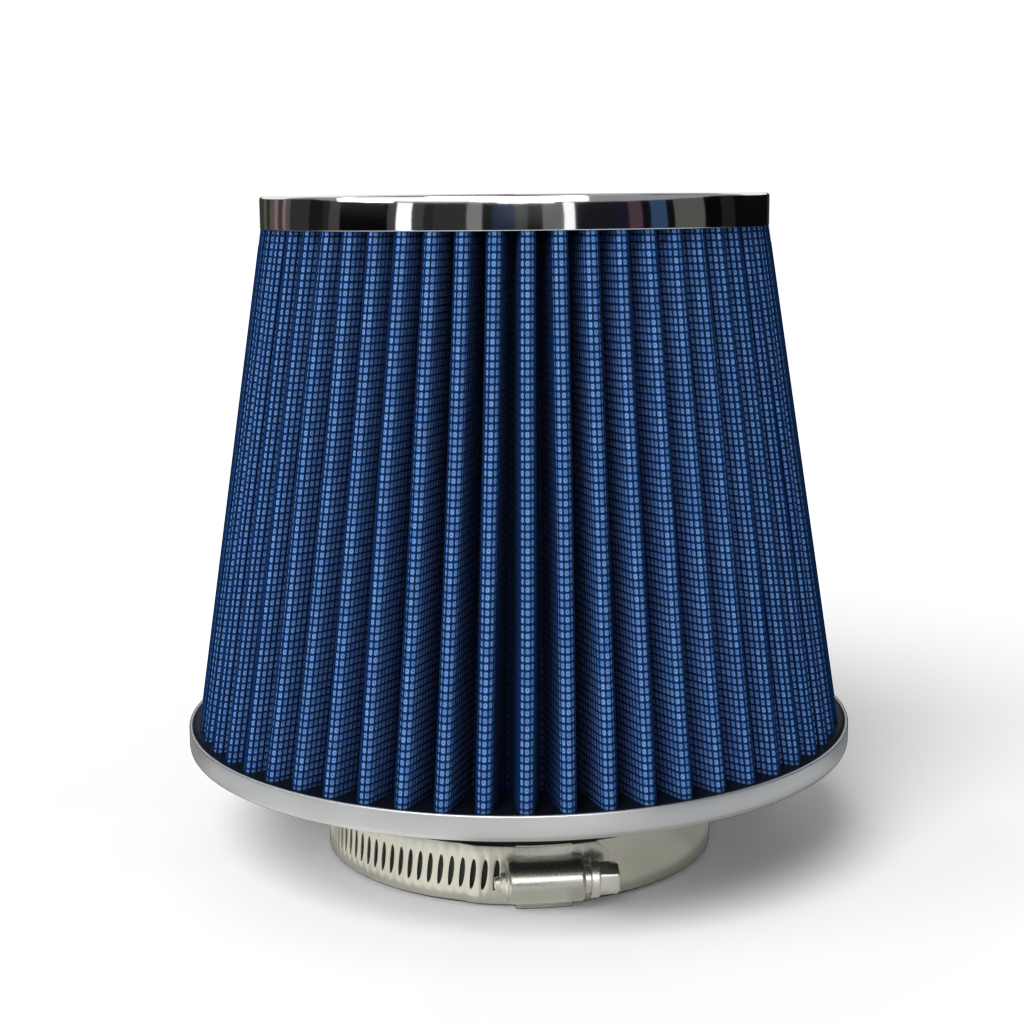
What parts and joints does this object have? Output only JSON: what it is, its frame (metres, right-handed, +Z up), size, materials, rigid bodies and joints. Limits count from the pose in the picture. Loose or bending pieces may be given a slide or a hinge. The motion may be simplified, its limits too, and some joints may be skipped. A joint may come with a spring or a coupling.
{
  "type": "clamp-on cone air filter",
  "caption": "Conical pleated air filter with a bright pressed cap, coated wire screen over gauze, a ringed base and a rubber inlet neck held by a worm-drive hose clamp.",
  "frame": {"origin": "centre of the neck's lower rim, on the plane the filter stands on", "axes": "+Z up along the cone's axis from the neck to the cap, -Y toward the clamp's screw, +X toward the side that the screw's head points to"},
  "size_m": [0.15, 0.15, 0.1473],
  "materials": {
    "chrome": "mirror chrome plate on pressed steel",
    "potting": "glossy cast polyurethane",
    "screen_wire": "dark blue epoxy coating on woven wire",
    "gauze": "oiled cotton gauze",
    "pan_metal": "satin",
    "neck_rubber": "satin moulded rubber",
    "stainless": "rolled stainless strip",
    "screw_steel": "bright plated steel"
  },
  "bodies": {
    "filter": {"top_cap": "chrome", "top_potting": "potting", "outer_screen": "screen_wire", "gauze_ply_1": "gauze", "gauze_ply_2": "gauze", "gauze_ply_3": "gauze", "gauze_ply_4": "gauze", "inner_screen": "screen_wire", "seam_clip": "pan_metal", "base_pan": "pan_metal", "base_potting": "potting", "inlet_neck": "neck_rubber"},
    "clamp": {"clamp_band": "stainless", "clamp_housing": "stainless"},
    "strap": {"slotted_strap": "stainless"},
    "screw": {"clamp_screw": "screw_steel"}
  },
  "joints": [
    {"name": "clamp_turn", "type": "hinge", "parent": "filter", "child": "clamp", "pos_m": [0, 0, 0.00705], "axis": [0, 0, 1], "continuous": true},
    {"name": "screw_turn", "type": "hinge", "parent": "clamp", "child": "screw", "pos_m": [0.00518, -0.04772, 0.00705], "axis": [0.9942, 0.108, 0], "range_deg": [-360, 720]},
    {"name": "strap_feed", "type": "hinge", "parent": "clamp", "child": "strap", "pos_m": [0, 0, 0.00705], "axis": [0, 0, -1], "range_deg": [-3.23, 6.45]}
  ],
  "couplings": [
    {"joint": "strap_feed", "follows": "screw_turn", "ratio": 0.0089469}
  ]
}
